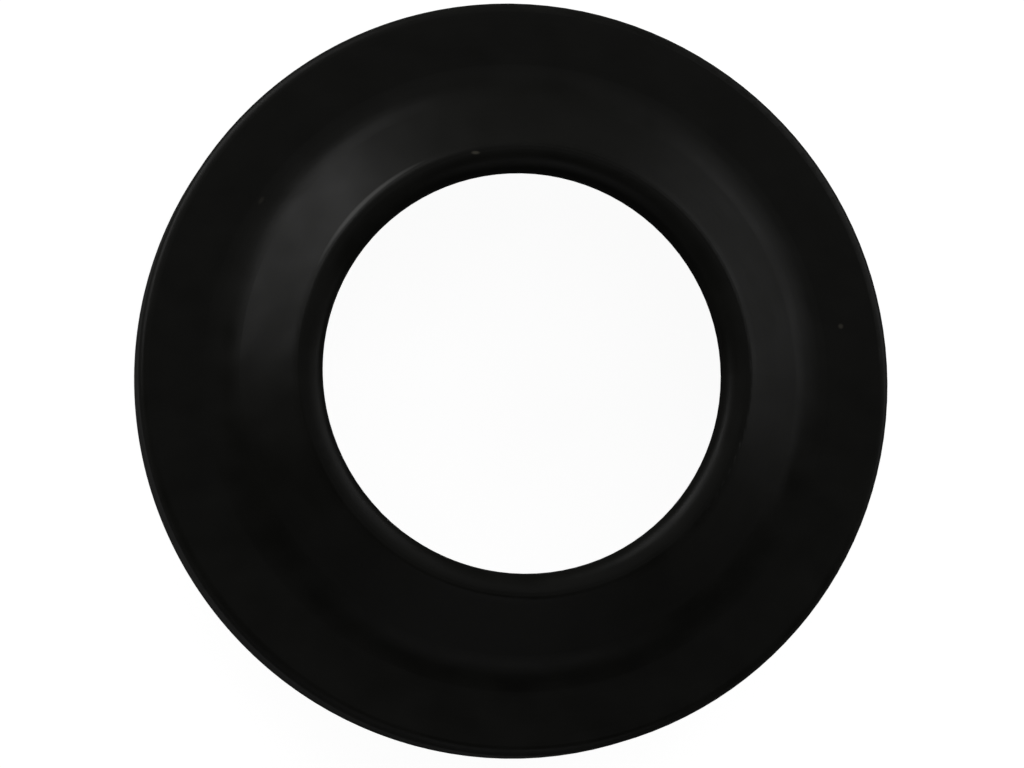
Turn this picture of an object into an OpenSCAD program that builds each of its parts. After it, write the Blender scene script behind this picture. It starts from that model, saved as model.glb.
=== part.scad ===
// Push-in rubber grommet: one moulded ring, turned about the Z axis.
// It lies on its back, so the panel groove is below the flange and the hub points up.
// Each module below draws one region of the half section: x is the radius, y is the height.

/* [Front flange] */
// Outer diameter of the flange, which covers the edge of the panel hole
flange_d = 38; // [36:0.5:48]
// Thickness of the flange
flange_t = 3.2; // [1.6:0.1:4]
// Round on the front edge of the rim
rim_front_r = 0.5; // [0.2:0.05:0.7]
// Round on the back edge of the rim
rim_back_r = 0.3; // [0.15:0.05:0.6]

/* [Hub] */
// Height of the hub above the face of the flange
hub_h = 3; // [2:0.1:4.5]
// Width of the flat land on top, from the round of the bore to the round of the edge
land_w = 0.15; // [0.05:0.05:1.5]
// Round on the thin edge outside the land
lip_edge_r = 0.3; // [0.1:0.05:0.5]
// Slope of the flank just outside the lip, in degrees from level
lip_slope = 35; // [20:1:38]
// Slope of the flank where it is steepest, in degrees from level
flank_slope = 41; // [38:1:60]
// Outward curve between the lip and the steepest part of the flank
crown_r = 3.5; // [2:0.1:5]
// Inward curve where the flank runs out into the flange
foot_r = 2.7; // [1:0.1:4]

/* [Passage] */
// Diameter of the bore, which seals on the cable or pipe
bore_d = 20.1; // [16:0.1:22]
// Length of the straight wall of the bore
bore_l = 0.4; // [0.4:0.1:2]
// Round where the top of the hub turns down into the bore
bore_front_r = 1.05; // [0.4:0.05:1.2]
// Round where the bore opens into the relief behind it
bore_back_r = 0.4; // [0.2:0.05:0.8]
// Step from the bore out to the wall of the relief, which lets the hub flex
relief_step = 2.1; // [1.5:0.1:2.8]
// Slope of the ceiling of the relief, in degrees from level
ceiling_slope = 40; // [30:1:50]
// Round in the corner between the ceiling and the wall of the relief
relief_corner_r = 1.2; // [0.5:0.1:2]

/* [Panel groove] */
// Thickness of the panel that the groove grips
panel_t = 2; // [1:0.1:4]
// Diameter of the floor of the groove, which fills the panel hole
groove_d = 30; // [28:0.5:33]
// Round in both corners of the floor of the groove
groove_corner_r = 0.25; // [0.1:0.05:0.4]

/* [Retaining lip] */
// How far the lip stands out past the floor of the groove
barb_reach = 1.5; // [1:0.1:2.2]
// Width of the lead-in that slopes from the lip down to the back face
lead_in_w = 2; // [1.2:0.1:2.5]
// Thickness of the lip, from the back face to the groove
barb_t = 1.9; // [1.6:0.1:3]
// Round on the largest diameter of the lip
barb_edge_r = 0.35; // [0.2:0.05:0.5]
// Round on both edges of the back face
back_edge_r = 0.4; // [0.2:0.05:0.6]

/* [Hidden] */
$fn = 180;

// Rounds reach this far past the sides that they touch, so that no gap is left between the two
tuck = 0.0001;
// Regions of the section that join each other overlap by this much
overlap = 0.05;

flange_r = flange_d / 2;
bore_r = bore_d / 2;
lip_r = bore_r + bore_front_r + land_w + lip_edge_r;
relief_r = bore_r + relief_step;
groove_r = groove_d / 2;
barb_r = groove_r + barb_reach;
back_r = barb_r - lead_in_w;

// Heights, from the back face up
flange_z = barb_t + panel_t;
face_z = flange_z + flange_t;
top_z = face_z + hub_h;

// Directions of the four square sides
outward = 0;
upward = 90;
inward = 180;
downward = 270;

// Hub: the edge, the crown, the flank and the foot follow each other without a corner
lip_centre = [lip_r - lip_edge_r, top_z - lip_edge_r];
crown_centre = lip_centre - (crown_r - lip_edge_r) * heading(upward - lip_slope);
crown_end = crown_centre + (crown_r - tuck) * heading(upward - flank_slope);
foot_start_z = face_z + foot_r * (1 - cos(flank_slope));
flank_run = (crown_end[1] - foot_start_z) / tan(flank_slope);
foot_start = [crown_end[0] + flank_run, foot_start_z];
foot_centre = foot_start + foot_r * heading(upward - flank_slope);

// Passage: the straight wall stops where the round behind it starts
bore_corner_z = top_z - bore_front_r - bore_l - bore_back_r * tan((90 - ceiling_slope) / 2);
relief_corner_z = bore_corner_z - relief_step * tan(ceiling_slope);
// The passage is cut past both ends of the ring by this much
overrun = 1;

// Slope of the lead-in round the retaining lip
lead_in = atan2(barb_t, lead_in_w);

function heading(angle) = [cos(angle), sin(angle)];

// The centre of a round in a corner whose sides leave it at the angles from and to
function round_centre(corner, from, to, r) =
    corner + heading((from + to) / 2) * r / sin((to - from) / 2);

// The sliver between a round and the corner that it takes the place of.
// It is cut away from an outer corner, or added to fill an inner one.
module sliver(centre, from, to, r) {
    spoke = r + overlap;
    difference() {
        polygon([
            centre,
            centre + spoke * heading(to + 90),
            centre - spoke * heading((from + to) / 2) / sin((to - from) / 2),
            centre + spoke * heading(from - 90)
        ]);
        translate(centre)
            circle(r + tuck);
    }
}

module corner_sliver(corner, from, to, r) {
    sliver(round_centre(corner, from, to, r), from, to, r);
}

module flange_section() {
    difference() {
        translate([0, flange_z])
            square([flange_r, flange_t]);
        corner_sliver([flange_r, face_z], inward, downward, rim_front_r);
        corner_sliver([flange_r, flange_z], upward, inward, rim_back_r);
    }
}

module hub_section() {
    difference() {
        union() {
            polygon([
                [0, flange_z],
                [foot_centre[0], flange_z],
                [foot_centre[0], face_z],
                foot_centre,
                foot_start,
                crown_end,
                [crown_centre[0], top_z],
                [0, top_z]
            ]);
            intersection() {
                translate(crown_centre)
                    circle(crown_r);
                translate(crown_centre)
                    square([crown_r, top_z - crown_centre[1]]);
            }
        }
        translate(foot_centre)
            circle(foot_r + tuck);
        sliver(lip_centre, inward, 360 - lip_slope, lip_edge_r);
    }
}

module sleeve_section() {
    translate([0, barb_t - overlap])
        square([groove_r, panel_t + 2 * overlap]);
    corner_sliver([groove_r, flange_z], downward, downward + 90, groove_corner_r);
    corner_sliver([groove_r, barb_t], outward, upward, groove_corner_r);
}

module barb_section() {
    difference() {
        polygon([[0, 0], [back_r, 0], [barb_r, barb_t], [0, barb_t]]);
        corner_sliver([back_r, 0], lead_in, inward, back_edge_r);
        corner_sliver([barb_r, barb_t], inward, inward + lead_in, barb_edge_r);
    }
}

module passage_section() {
    difference() {
        polygon([
            [0, -overrun],
            [relief_r, -overrun],
            [relief_r, relief_corner_z],
            [bore_r, bore_corner_z],
            [bore_r, top_z + overrun],
            [0, top_z + overrun]
        ]);
        corner_sliver([relief_r, relief_corner_z], inward - ceiling_slope, downward, relief_corner_r);
    }
    corner_sliver([relief_r, 0], outward, upward, back_edge_r);
    corner_sliver([bore_r, bore_corner_z], outward - ceiling_slope, upward, bore_back_r);
    corner_sliver([bore_r, top_z], downward, downward + 90, bore_front_r);
}

module grommet() {
    color("#1b1b1a")
        rotate_extrude()
            difference() {
                union() {
                    flange_section();
                    hub_section();
                    sleeve_section();
                    barb_section();
                }
                passage_section();
            }
}

grommet();
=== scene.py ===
# %% [markdown]
# # A push-in rubber grommet
#
# The object is one ring of black rubber, pressed in a two-part steel mould. Its flange covers the
# edge of a hole in a panel, its groove grips the panel, and its raised hub closes on a cable or
# pipe. The shape is already exact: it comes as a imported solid, so nothing is modelled twice here.
# What is left to make is what the eye judges: the skin of the rubber and the light that shows it.

# %% Load the ring
import math

import bpy
from mathutils import Matrix, Vector


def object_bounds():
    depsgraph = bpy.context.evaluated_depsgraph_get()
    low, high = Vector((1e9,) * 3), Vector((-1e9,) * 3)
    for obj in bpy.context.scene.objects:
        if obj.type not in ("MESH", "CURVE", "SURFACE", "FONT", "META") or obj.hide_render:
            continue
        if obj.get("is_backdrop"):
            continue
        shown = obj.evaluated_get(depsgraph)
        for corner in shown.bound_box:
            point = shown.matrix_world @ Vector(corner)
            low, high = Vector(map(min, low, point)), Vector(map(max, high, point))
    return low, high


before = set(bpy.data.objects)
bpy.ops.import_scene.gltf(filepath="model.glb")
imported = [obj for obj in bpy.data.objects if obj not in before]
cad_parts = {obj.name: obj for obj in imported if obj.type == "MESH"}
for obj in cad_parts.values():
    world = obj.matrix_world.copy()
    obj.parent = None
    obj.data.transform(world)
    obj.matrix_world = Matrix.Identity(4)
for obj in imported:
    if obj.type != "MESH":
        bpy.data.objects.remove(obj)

MM = 0.001

cad_low, cad_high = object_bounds()
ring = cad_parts["grommet"]
print("ring, in mm:", [round(side / MM, 2) for side in cad_high - cad_low])

# %% [markdown]
# ## Colours
#
# A colour picked on a screen is an sRGB value, which is stored bent so that dark tones get more
# steps. A renderer adds light up, so it needs the straight, linear value. Black rubber is never
# quite zero: carbon black swallows all but about one part in a hundred of the light, and with less
# than that left the ring would look like a hole cut in the picture. One small function does the
# change, so that every colour below can be written as the hex value that a painter would pick.

# %% Turn a hex colour to linear
RUBBER_DARK = "#161614"
RUBBER_LIGHT = "#191917"


def linear(hex_colour):
    """Linear red, green, blue and alpha of an sRGB colour such as #161614."""
    channels = [int(hex_colour[i:i + 2], 16) / 255 for i in (1, 3, 5)]
    # The sRGB curve is straight near black, and a power above that
    return [c / 12.92 if c <= 0.04045 else ((c + 0.055) / 1.055) ** 2.4 for c in channels] + [1]


print("darkest rubber, linear:", [round(c, 4) for c in linear(RUBBER_DARK)])
print("palest rubber, linear:", [round(c, 4) for c in linear(RUBBER_LIGHT)])


# %% [markdown]
# ## Helpers for materials
#
# A material is a small graph: each node has settings, and its inputs take either a plain value or
# a wire from another node. Written out by hand that is four lines a node. One helper that makes
# the node, sets it up and wires it keeps each recipe below short enough to read at a glance. The
# other starts a material and empties its tree, since Blender puts a plain shader in every new one.

# %% Add a node, start a material
def add_node(tree, kind, inputs=None, **settings):
    """Add a node; inputs maps an input's name or number to a value or to another node's output."""
    node = tree.nodes.new("ShaderNode" + kind)
    for name, value in settings.items():
        setattr(node, name, value)
    for name, value in (inputs or {}).items():
        if isinstance(value, bpy.types.NodeSocket):
            tree.links.new(value, node.inputs[name])
        else:
            node.inputs[name].default_value = value
    return node


def new_material(name):
    """A material with an empty tree of nodes."""
    material = bpy.data.materials.new(name)
    material.use_nodes = True
    material.node_tree.nodes.clear()
    return material


# %% [markdown]
# ## The rubber
#
# The ring is EPDM rubber, black with carbon and pressed hot against turned and polished steel.
# Three things on the real skin give it away at once:
#
# * it is a satin, not a gloss: pores far smaller than the eye can see spread each highlight wide;
# * the colour and the shine are slightly uneven, because oil and wax come to the surface in soft
#   clouds, and under each cloud the skin swells by a few hundredths of a millimetre;
# * it keeps a ghost of the lathe marks that were left in the mould, as fine rings round the bore.
#
# A Principled shader with a dark base does the first. Noise in millimetres does the second, and a
# wave that runs outwards from the axis does the third. Everything is worked out from the ring's
# own coordinates, so the pattern stays put whichever side the ring is seen from.

# %% Set the scale of the patterns
CLOUD_MM = 2.4             # size of the soft clouds of bloom
PORE_MM = 0.22             # real pores are ten times finer; this is the finest that shows
LATHE_MM = 0.35            # feed of the turning tool that cut the mould
SWELL_HEIGHT_MM = 0.06     # the skin swells under the clouds, and by no more than this
PORE_HEIGHT_MM = 0.0016    # from the bottom of a pore to the skin round it
LATHE_HEIGHT_MM = 0.0008   # from the bottom of a lathe ring to its top

print("clouds over the flange:", round((cad_high - cad_low).x / MM / CLOUD_MM, 1))


# %% Draw the clouds, pores and lathe rings
def per_metre(size_mm):
    """Scale that makes one cell of a noise as large as the given size."""
    return 1 / (size_mm * MM)


def from_axis(tree, place):
    """Output of the distance between a place and the axis of the ring, in metres."""
    across = add_node(tree, "VectorMath", {0: place, 1: (1, 1, 0)}, operation="MULTIPLY")
    distance = add_node(tree, "VectorMath", {0: across.outputs["Vector"]}, operation="LENGTH")
    return distance.outputs["Value"]


def skin_patterns(tree):
    """Outputs of the clouds, the pores and the lathe rings, each from 0 to 1."""
    place = add_node(tree, "TexCoord").outputs["Object"]
    clouds = add_node(tree, "TexNoise", {
        "Vector": place, "Scale": per_metre(CLOUD_MM), "Detail": 1})
    pores = add_node(tree, "TexNoise", {
        "Vector": place, "Scale": per_metre(PORE_MM), "Detail": 2})
    phase = add_node(tree, "Math", {
        0: from_axis(tree, place), 1: math.tau * per_metre(LATHE_MM)}, operation="MULTIPLY")
    wave = add_node(tree, "Math", {0: phase.outputs[0]}, operation="SINE")
    rings = add_node(tree, "MapRange", {"Value": wave.outputs[0], "From Min": -1})
    return clouds.outputs["Fac"], pores.outputs["Fac"], rings.outputs["Result"]


# %% [markdown]
# ## Dust and a painted glint on the rubber
#
# Rubber charges up as it is handled, and picks up lint. The ring carries a short pale fibre on its
# bead, a grain on its flange and a faint bit of lint at the foot of its hub. On one side, the glint
# of light along the edge of the hub is painted into the colour as a fine grey line: a painted
# highlight. All of these are far too thin to model as solids, so each is a soft-edged spot in the
# colour, at a real place in the ring's own frame. One recipe draws them all, because a line that
# follows the edge is a plain ellipse too, once its place is given as a distance from the axis and a
# bearing. The painted highlight is a plain grey and lint is a little yellow, so the two have a
# colour each.

# %% List the marks
# Each speck: distance from the axis, bearing and height of its centre, the way it points, its
# length and width, and how pale it is. Sizes are in mm and angles in degrees.
SPECKS = {
    "fibre on the bead": (11.13, 103.3, 10.1, 0, 0.40, 0.17, 0.25),
    "grain on the flange": (16.75, 9.7, 7.1, 0, 0.25, 0.25, 0.16),
    "lint at the foot of the hub": (15.56, 146.3, 7.1, 55, 0.45, 0.20, 0.05),
}
# The painted highlight along the hub's edge: distance, bearing and height of its middle,
# its width, its span, how pale it is.
PAINTED_GLINT_ARC = (11.58, 135.5, 9.9, 0.20, 31, 0.25)
MARK_DEPTH_MM = 1.0        # keeps a mark from showing on the far side of the rubber as well
MARK_FADES_OUT = 1.3       # where a mark has faded out, as a share of its half size
MARK_IS_FULL = 0.5         # where it reaches its full strength
LINT_COLOUR = "#8f8a7c"
# Pale grey of the painted highlight along the edge of the hub
PAINTED_GLINT_COLOUR = "#8a8a88"
# The edge that this prints is a painted highlight along the hub, drawn in the colour.
print("marks:", ", ".join(SPECKS), "and a rubbed edge")


# %% Draw the marks
def soft_spot(tree, place, centre, turn, size, strength):
    """Output that rises from 0 outside an ellipsoid to the strength in the middle of it."""
    inside = add_node(tree, "Mapping", {
        "Vector": place, "Location": centre, "Rotation": (0, 0, turn),
        "Scale": [side / 2 for side in size]}, vector_type="TEXTURE")
    far = add_node(tree, "VectorMath", {0: inside.outputs[0]}, operation="LENGTH")
    spot = add_node(tree, "MapRange", {
        "Value": far.outputs["Value"], "From Min": MARK_FADES_OUT, "From Max": MARK_IS_FULL,
        "To Max": strength})
    return spot.outputs[0]


def painted_glint_mask(tree):
    """Output that is 0 elsewhere and rises along the hub's edge, where a highlight is painted."""
    place = add_node(tree, "TexCoord").outputs["Object"]
    axes = add_node(tree, "SeparateXYZ", {0: place}).outputs
    heading = add_node(tree, "Math", {0: axes["Y"], 1: axes["X"]}, operation="ARCTAN2")
    around = add_node(tree, "CombineXYZ", {
        "X": from_axis(tree, place), "Y": heading.outputs[0], "Z": axes["Z"]})
    radius, bearing, height, width, span, pale = PAINTED_GLINT_ARC
    return soft_spot(tree, around.outputs[0], (radius * MM, math.radians(bearing), height * MM), 0,
                     (width * MM, math.radians(span), MARK_DEPTH_MM * MM), pale)


def lint_mask(tree):
    """Output that is 0 on clean rubber and rises on each speck."""
    place = add_node(tree, "TexCoord").outputs["Object"]
    total = 0
    for radius, bearing, height, pointing, length, width, pale in SPECKS.values():
        angle = math.radians(bearing)
        centre = (radius * MM * math.cos(angle), radius * MM * math.sin(angle), height * MM)
        spot = soft_spot(tree, place, centre, math.radians(pointing),
                         (length * MM, width * MM, MARK_DEPTH_MM * MM), pale)
        total = add_node(tree, "Math", {0: total, 1: spot}, operation="MAXIMUM").outputs[0]
    return total


# %% [markdown]
# ## Putting the rubber together
#
# The base colour moves between two near blacks with the clouds. Rubber's own index of refraction is
# about 1.5, but a pitted, oily skin sends back much less of a mirror image than polished rubber
# would, so the specular level is brought down until the sheen on the hub is right. The pores and
# the rings are measured in thousandths of a millimetre: more than that and the ring would look like
# cast iron. The swells are higher, but so wide that all they do is sway the highlights a little.

# %% Make the rubber
RUBBER_IOR = 1.5
RUBBER_SPECULAR = 0.104
ROUGH_LOW, ROUGH_HIGH = 0.36, 0.46
TINT_FROM, TINT_TO = 0.35, 0.65       # part of the clouds' range that moves the colour
SHINE_FROM, SHINE_TO = 0.3, 0.7       # part of it that moves the roughness
FACTOR, COLOUR_A, COLOUR_B, MIXED = 0, 6, 7, 2    # sockets of a Mix node that mixes colours


def moulded_epdm_rubber():
    """Satin black rubber, straight from the mould."""
    material = new_material("moulded_epdm_rubber")
    tree = material.node_tree
    clouds, pores, rings = skin_patterns(tree)
    tint = add_node(tree, "MapRange", {
        "Value": clouds, "From Min": TINT_FROM, "From Max": TINT_TO})
    rubber = add_node(tree, "Mix", {
        FACTOR: tint.outputs[0], COLOUR_A: linear(RUBBER_DARK), COLOUR_B: linear(RUBBER_LIGHT)},
        data_type="RGBA")
    # Painted highlight: a pale grey line along the edge of the hub stands in for its glint.
    glint_painted = add_node(tree, "Mix", {
        FACTOR: painted_glint_mask(tree), COLOUR_A: rubber.outputs[MIXED], COLOUR_B: linear(PAINTED_GLINT_COLOUR)},
        data_type="RGBA")
    dusty = add_node(tree, "Mix", {
        FACTOR: lint_mask(tree), COLOUR_A: glint_painted.outputs[MIXED], COLOUR_B: linear(LINT_COLOUR)},
        data_type="RGBA")
    rough = add_node(tree, "MapRange", {
        "Value": clouds, "From Min": SHINE_FROM, "From Max": SHINE_TO,
        "To Min": ROUGH_LOW, "To Max": ROUGH_HIGH})
    lathe = add_node(tree, "Bump", {
        "Height": rings, "Distance": LATHE_HEIGHT_MM * MM, "Strength": 1})
    swells = add_node(tree, "Bump", {
        "Height": clouds, "Distance": SWELL_HEIGHT_MM * MM, "Strength": 1,
        "Normal": lathe.outputs["Normal"]})
    grain = add_node(tree, "Bump", {
        "Height": pores, "Distance": PORE_HEIGHT_MM * MM, "Strength": 1,
        "Normal": swells.outputs["Normal"]})
    skin = add_node(tree, "BsdfPrincipled", {
        "Base Color": dusty.outputs[MIXED], "Roughness": rough.outputs[0], "IOR": RUBBER_IOR,
        "Specular IOR Level": RUBBER_SPECULAR, "Normal": grain.outputs["Normal"]})
    add_node(tree, "OutputMaterial", {"Surface": skin.outputs[0]})
    return material


rubber_skin = moulded_epdm_rubber()
for slot in ring.material_slots:
    slot.material = rubber_skin
print("rubber slots:", len(ring.material_slots), "nodes:", len(rubber_skin.node_tree.nodes))

# %% [markdown]
# ## A white sheet that isn't a lamp
#
# The ring lies on a plain white sheet. To make the sheet look white by lamps alone, the lamps would
# have to be so strong that black rubber turned grey. So the sheet gets most of its white by
# glowing, and only for rays that look at it: from the camera, in a mirror image, or through glass.
# Apart from that mirror image, it puts no light on the ring. The rest is ordinary grey paint under
# the lamps, and that part carries the ring's soft shadow.
#
# One detail matters on a black ring. Its steep sides mirror the sheet close by, and a full white
# there would turn them grey. In a studio, black card is laid round such a piece, just out of view.
# Ray Length does the same work here: it tells a glossy ray how far it went before it met the sheet,
# and the glow only comes up for rays that went well past the place of the card.
#
# Two smaller matters: the glow rises to full white further out, where the lamps no longer reach,
# and the sheet has no underside, so that it never hides the back of the ring.

# %% Find the rays that look
def rays_that_look(tree, mirrored_share):
    """Output that is 1 for the camera and through glass, and the given share in a mirror image."""
    ray = add_node(tree, "LightPath").outputs
    mirrored = add_node(tree, "Math", {
        0: ray["Is Glossy Ray"], 1: mirrored_share}, operation="MULTIPLY")
    straight = add_node(tree, "Math", {
        0: ray["Is Camera Ray"], 1: ray["Is Transmission Ray"]}, operation="MAXIMUM")
    both = add_node(tree, "Math", {
        0: straight.outputs[0], 1: mirrored.outputs[0]}, operation="MAXIMUM")
    return both.outputs[0]


# %% Make the sheet
SHEET_SIZE = 6.0            # in metres
SHEET_DROP = 0.02 * MM      # keeps the sheet and the ring's back face from being one plane
SHEET_PAINT = "#909090"
SHEET_GLOW = 0.95           # near the ring, where the lamps add the rest of the white
LIT_INSIDE_MM, LIT_OUTSIDE_MM = 200, 800       # from the ring: the glow rises to 1 between these
CARD_INSIDE_MM, CARD_OUTSIDE_MM = 100, 400     # along a glossy ray: the glow comes up between these


def white_sheet():
    """Grey paint, a glow for the rays that look at it, and nothing at all from below."""
    material = new_material("white_sheet")
    tree = material.node_tree
    place = add_node(tree, "TexCoord").outputs["Object"]
    out = add_node(tree, "VectorMath", {0: place}, operation="LENGTH")
    white = add_node(tree, "MapRange", {
        "Value": out.outputs["Value"], "From Min": LIT_INSIDE_MM * MM,
        "From Max": LIT_OUTSIDE_MM * MM, "To Min": SHEET_GLOW})
    past_card = add_node(tree, "MapRange", {
        "Value": add_node(tree, "LightPath").outputs["Ray Length"],
        "From Min": CARD_INSIDE_MM * MM, "From Max": CARD_OUTSIDE_MM * MM})
    seen = rays_that_look(tree, past_card.outputs[0])
    strength = add_node(tree, "Math", {0: seen, 1: white.outputs[0]}, operation="MULTIPLY")
    glow = add_node(tree, "Emission", {"Strength": strength.outputs[0]})
    paint = add_node(tree, "BsdfDiffuse", {"Color": linear(SHEET_PAINT)})
    both = add_node(tree, "AddShader", {0: paint.outputs[0], 1: glow.outputs[0]})
    below = add_node(tree, "NewGeometry").outputs["Backfacing"]
    clear = add_node(tree, "BsdfTransparent").outputs[0]
    one_sided = add_node(tree, "MixShader", {0: below, 1: both.outputs[0], 2: clear})
    add_node(tree, "OutputMaterial", {"Surface": one_sided.outputs[0]})
    return material


def lay_sheet(size):
    """A square sheet, centred under the ring."""
    half = size / 2
    mesh = bpy.data.meshes.new("sheet")
    mesh.from_pydata([(-half, -half, 0), (half, -half, 0), (half, half, 0), (-half, half, 0)],
                     [], [(0, 1, 2, 3)])
    sheet = bpy.data.objects.new("sheet", mesh)
    bpy.context.scene.collection.objects.link(sheet)
    mesh.materials.append(white_sheet())
    sheet.location.z = -SHEET_DROP
    sheet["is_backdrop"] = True
    return sheet


sheet = lay_sheet(SHEET_SIZE)
print("sheet:", sheet.name, SHEET_SIZE, "m wide")

# %% [markdown]
# ## The room
#
# Past the edge of the sheet there is a low white backdrop in a dark room. The camera sees white
# wherever it looks. A mirror image in the rubber shows the white only near the horizon, and dark
# above it, and that darkness is what makes black rubber look black.

# %% Make the room
BACKDROP_TOP = 0.03     # sine of the height at which the backdrop ends


def white_backdrop():
    """A world that is white to look at, and for glossy rays only near the horizon."""
    world = bpy.data.worlds.new("white_backdrop")
    world.use_nodes = True
    tree = world.node_tree
    tree.nodes.clear()
    heading = add_node(tree, "TexCoord").outputs["Generated"]
    height = add_node(tree, "SeparateXYZ", {0: heading}).outputs["Z"]
    low = add_node(tree, "MapRange", {
        "Value": height, "From Max": BACKDROP_TOP, "To Min": 1, "To Max": 0})
    seen = rays_that_look(tree, low.outputs[0])
    sky = add_node(tree, "Background", {"Color": (1, 1, 1, 1), "Strength": seen})
    add_node(tree, "OutputWorld", {"Surface": sky.outputs[0]})
    return world


bpy.context.scene.world = white_backdrop()
print("world:", bpy.context.scene.world.name)

# %% [markdown]
# ## Soft boxes
#
# Satin black is drawn by its highlights alone, so the lamps are placed for the sheen that they lay
# on the slope of the hub. Behind on the left, a low strip and a box above it give the broad sheen,
# and a weaker pair behind on the right gives the second. In front, a fill and a low strip light the
# bead inside the bore, and a wide box overhead keeps the flat of the flange from sinking. Each
# panel faces the ring from half a metre away. A panel's power grows with its area, so the helper
# takes its brightness, which is what a highlight shows, and works the power out.

# %% Hang the soft boxes
RING_CENTRE = (cad_low + cad_high) / 2
LAMP_DISTANCE = 0.5     # in metres


def direction(bearing, height):
    """Unit vector towards a bearing and a height above level, both in degrees."""
    bearing, height = math.radians(bearing), math.radians(height)
    flat = math.cos(height)
    return Vector((flat * math.cos(bearing), flat * math.sin(bearing), math.sin(height)))


def soft_box(name, bearing, height, width, tall, brightness):
    """A panel seen from the ring at a bearing and height; all four angles are in degrees."""
    towards = direction(bearing, height)
    lamp = bpy.data.lights.new(name, "AREA")
    lamp.shape = "RECTANGLE"
    lamp.size = 2 * LAMP_DISTANCE * math.tan(math.radians(width / 2))
    lamp.size_y = 2 * LAMP_DISTANCE * math.tan(math.radians(tall / 2))
    lamp.energy = brightness * lamp.size * lamp.size_y * math.pi
    panel = bpy.data.objects.new(name, lamp)
    bpy.context.scene.collection.objects.link(panel)
    panel.location = RING_CENTRE + towards * LAMP_DISTANCE
    panel.rotation_euler = towards.to_track_quat("Z", "Y").to_euler()
    panel.visible_camera = False
    return panel


# Bearing, height, width and tall in degrees, then brightness
SOFT_BOXES = {
    "left_strip": (144, 6, 48, 12, 5.93),
    "left_box": (120, 24, 32, 24, 2.50),
    "right_strip": (22, 6, 60, 12, 1.95),
    "right_box": (32, 30, 40, 36, 1.20),
    "front_fill": (272, 34, 50, 24, 0.81),
    "front_strip": (250, 12, 84, 16, 0.33),
    "overhead": (90, 68, 70, 36, 0.445),
}
for name, settings in SOFT_BOXES.items():
    soft_box(name, *settings)
print("soft boxes:", ", ".join(SOFT_BOXES))

# %% [markdown]
# ## The camera
#
# The ring is looked at almost straight down its axis, tipped by about ten degrees, so that the hub
# slides a little off the middle of the flange. That small shift is all that tells the eye how tall
# the hub is. A long lens keeps the circle of the flange round.

# %% Place the camera
FRAME_WIDTH = 1024
FRAME_HEIGHT = 768
SENSOR_MM = 36
CAMERA_DISTANCE = 0.300      # in metres
CAMERA_TILT = 10.5           # degrees between the line of sight and the axis
CAMERA_BEARING = 216.9       # side that the camera leans to
AIM_HEIGHT = 6.1 * MM        # inside the flange, 1 mm under its face
PIXELS_PER_MM = 19.900       # at the point aimed at
AIM_X, AIM_Y = 514.7, 378.65    # where that point lies in the picture


def look_down(tilt, bearing):
    """A camera that leans by tilt towards bearing, with +Y upwards in the picture."""
    back = direction(bearing, 90 - tilt)
    right = (-back).cross(Vector((0, 1, 0))).normalized()
    up = right.cross(-back)
    lens = bpy.data.cameras.new("camera")
    lens.sensor_fit = "HORIZONTAL"
    lens.sensor_width = SENSOR_MM
    lens.lens = PIXELS_PER_MM * CAMERA_DISTANCE / MM * SENSOR_MM / FRAME_WIDTH
    lens.shift_x = -(AIM_X - FRAME_WIDTH / 2) / FRAME_WIDTH
    lens.shift_y = (AIM_Y - FRAME_HEIGHT / 2) / FRAME_WIDTH
    lens.clip_start = CAMERA_DISTANCE / 10
    camera = bpy.data.objects.new("camera", lens)
    bpy.context.scene.collection.objects.link(camera)
    camera.location = Vector((0, 0, AIM_HEIGHT)) + back * CAMERA_DISTANCE
    camera.rotation_euler = Matrix((right, up, back)).transposed().to_euler()
    return camera


bpy.context.scene.camera = look_down(CAMERA_TILT, CAMERA_BEARING)
bpy.context.scene.view_settings.view_transform = "Standard"
print("lens, in mm:", round(bpy.context.scene.camera.data.lens, 1))

# %% [markdown]
# ## The size after the finish
#
# The finish adds nothing to the ring's shape, so its box has to be the box that it came with. Both
# boxes are printed below.

# %% Print the boxes
seen_low, seen_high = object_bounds()
boxes = {"cad": [list(cad_low), list(cad_high)], "visual": [list(seen_low), list(seen_high)]}
for name, corners in boxes.items():
    print(name, "box, in mm:", [[round(side / MM, 2) for side in corner] for corner in corners])
